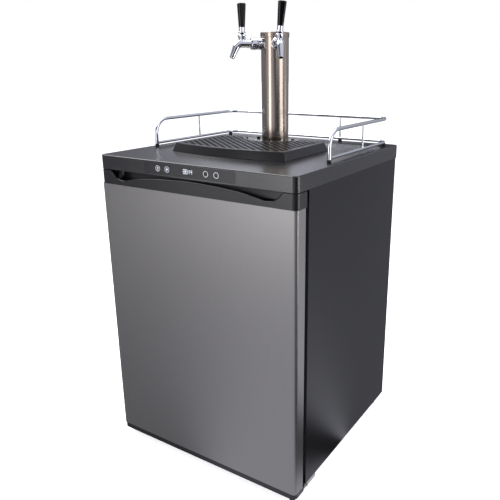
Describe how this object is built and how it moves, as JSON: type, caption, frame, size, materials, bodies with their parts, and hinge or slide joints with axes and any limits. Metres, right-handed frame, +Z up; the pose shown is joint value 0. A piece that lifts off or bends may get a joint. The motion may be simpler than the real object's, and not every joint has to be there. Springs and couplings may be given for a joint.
{
  "type": "two-tap draught beer dispenser",
  "caption": "Free-standing refrigerated keg cabinet with a draught tower, beer taps, drip tray, guard rail and a hinged steel door.",
  "frame": {"origin": "on the floor, under the middle of the worktop", "axes": "+X is the right-hand side seen from the front, +Y points to the back, +Z is up; the door faces -Y"},
  "size_m": [0.6, 0.582, 1.2266],
  "materials": {
    "worktop": "charcoal grey textured coat",
    "control_bezel": "gloss black",
    "display_window": "dark smoked window",
    "control_board": "circuit board",
    "button": "black button caps",
    "chrome": "polished chrome",
    "tower": "polished stainless tube",
    "tower_screws": "black oxide",
    "insulation": "expanded foam",
    "rail_feet": "black rubber",
    "tray": "black moulded tray",
    "grille": "black moulded lattice",
    "side_paint": "near-black grey coat",
    "back_paint": "near-black grey coat",
    "galvanised": "galvanised steel",
    "liner": "white moulded liner",
    "floor_plate": "stainless plate",
    "compressor": "black enamel",
    "rubber": "black rubber",
    "inlet": "black socket",
    "fan_cover": "white moulded cover",
    "fan": "black moulded fan",
    "cylinder": "brushed aluminium",
    "brass": "machined brass",
    "wheel": "black knob",
    "door_skin": "brushed stainless sheet",
    "door_caps": "charcoal moulded cap",
    "gasket": "grey magnetic gasket",
    "handle": "gloss black",
    "zinc": "zinc plated steel",
    "foot": "black levelling foot",
    "door_liner": "white moulded liner"
  },
  "bodies": {
    "cabinet": {"worktop": "worktop", "control_bezel": "control_bezel", "display_window": "display_window", "control_board": "control_board", "tower_flange": "tower", "flange_screws": "tower_screws", "tower_column": "tower", "tower_cap": "tower", "tower_insulation": "insulation", "shanks": "chrome", "shank_nuts": "chrome", "coupling_nuts": "chrome", "bonnets": "chrome", "faucet_left": "chrome", "faucet_right": "chrome", "guard_rail_top": "chrome", "guard_rail_lower": "chrome", "rail_feet": "rail_feet", "side_panel_left": "side_paint", "side_panel_right": "side_paint", "front_rail": "side_paint", "back_panel": "back_paint", "base_pan": "galvanised", "cabinet_insulation": "insulation", "roof_insulation": "insulation", "inner_liner": "liner", "keg_floor_plate": "floor_plate", "bay_cover": "back_paint", "power_inlet": "inlet", "compressor": "compressor", "compressor_mounts": "rubber", "evaporator_cover": "fan_cover", "fan_motor": "fan", "gas_cylinder": "cylinder", "gas_valve": "brass", "gas_regulator": "brass", "hinge_lower": "zinc", "hinge_upper": "zinc"},
    "door": {"door_skin": "door_skin", "door_foam": "insulation", "door_top_cap": "door_caps", "door_bottom_cap": "door_caps", "door_liner": "door_liner", "door_gasket": "gasket"},
    "lever_left": {"lever_left": "chrome", "handle_left": "handle"},
    "lever_right": {"lever_right": "chrome", "handle_right": "handle"},
    "button_1": {"button_1": "button"},
    "button_2": {"button_2": "button"},
    "button_3": {"button_3": "button"},
    "button_4": {"button_4": "button"},
    "drip_tray": {"drip_tray": "tray"},
    "drip_grille": {"drip_grille": "grille"},
    "fan_rotor": {"fan_rotor": "fan"},
    "valve_wheel": {"valve_wheel": "wheel"},
    "foot_front_left": {"foot_front_left": "foot"},
    "foot_front_right": {"foot_front_right": "foot"},
    "foot_rear_left": {"foot_rear_left": "foot"},
    "foot_rear_right": {"foot_rear_right": "foot"}
  },
  "joints": [
    {"name": "door_hinge", "type": "hinge", "parent": "cabinet", "child": "door", "pos_m": [0.278, -0.267, 0.4], "axis": [0, 0, 1], "range_deg": [0, 120]},
    {"name": "tap_lever_left_pivot", "type": "hinge", "parent": "cabinet", "child": "lever_left", "pos_m": [-0.05978, 0.02376, 1.1426], "axis": [0.766, -0.6428, 0], "range_deg": [0, 25]},
    {"name": "tap_lever_right_pivot", "type": "hinge", "parent": "cabinet", "child": "lever_right", "pos_m": [0.05978, 0.02376, 1.1426], "axis": [0.766, 0.6428, 0], "range_deg": [0, 25]},
    {"name": "button_1_press", "type": "slide", "parent": "cabinet", "child": "button_1", "axis": [0, 1, 0], "range_m": [0, 0.0006], "stiffness_N_per_m": 600},
    {"name": "button_2_press", "type": "slide", "parent": "cabinet", "child": "button_2", "axis": [0, 1, 0], "range_m": [0, 0.0006], "stiffness_N_per_m": 600},
    {"name": "button_3_press", "type": "slide", "parent": "cabinet", "child": "button_3", "axis": [0, 1, 0], "range_m": [0, 0.0006], "stiffness_N_per_m": 600},
    {"name": "button_4_press", "type": "slide", "parent": "cabinet", "child": "button_4", "axis": [0, 1, 0], "range_m": [0, 0.0006], "stiffness_N_per_m": 600},
    {"name": "drip_tray_lift", "type": "slide", "parent": "cabinet", "child": "drip_tray", "axis": [0, 0, 1], "range_m": [0, 0.07]},
    {"name": "drip_grille_lift", "type": "slide", "parent": "drip_tray", "child": "drip_grille", "axis": [0, 0, 1], "range_m": [0, 0.05]},
    {"name": "fan_spin", "type": "hinge", "parent": "cabinet", "child": "fan_rotor", "pos_m": [0.095, 0.22, 0.6555], "axis": [0, -1, 0], "continuous": true},
    {"name": "valve_wheel_turn", "type": "hinge", "parent": "cabinet", "child": "valve_wheel", "pos_m": [-0.15, 0.174, 0.665], "axis": [0, 0, 1], "range_deg": [0, 360]},
    {"name": "foot_front_left_turn", "type": "hinge", "parent": "cabinet", "child": "foot_front_left", "pos_m": [-0.262, -0.1894, 0.012], "axis": [0, 0, 1], "continuous": true},
    {"name": "foot_front_right_turn", "type": "hinge", "parent": "cabinet", "child": "foot_front_right", "pos_m": [0.278, -0.267, 0.012], "axis": [0, 0, 1], "continuous": true},
    {"name": "foot_rear_left_turn", "type": "hinge", "parent": "cabinet", "child": "foot_rear_left", "pos_m": [-0.262, 0.25, 0.012], "axis": [0, 0, 1], "continuous": true},
    {"name": "foot_rear_right_turn", "type": "hinge", "parent": "cabinet", "child": "foot_rear_right", "pos_m": [0.262, 0.25, 0.012], "axis": [0, 0, 1], "continuous": true}
  ]
}
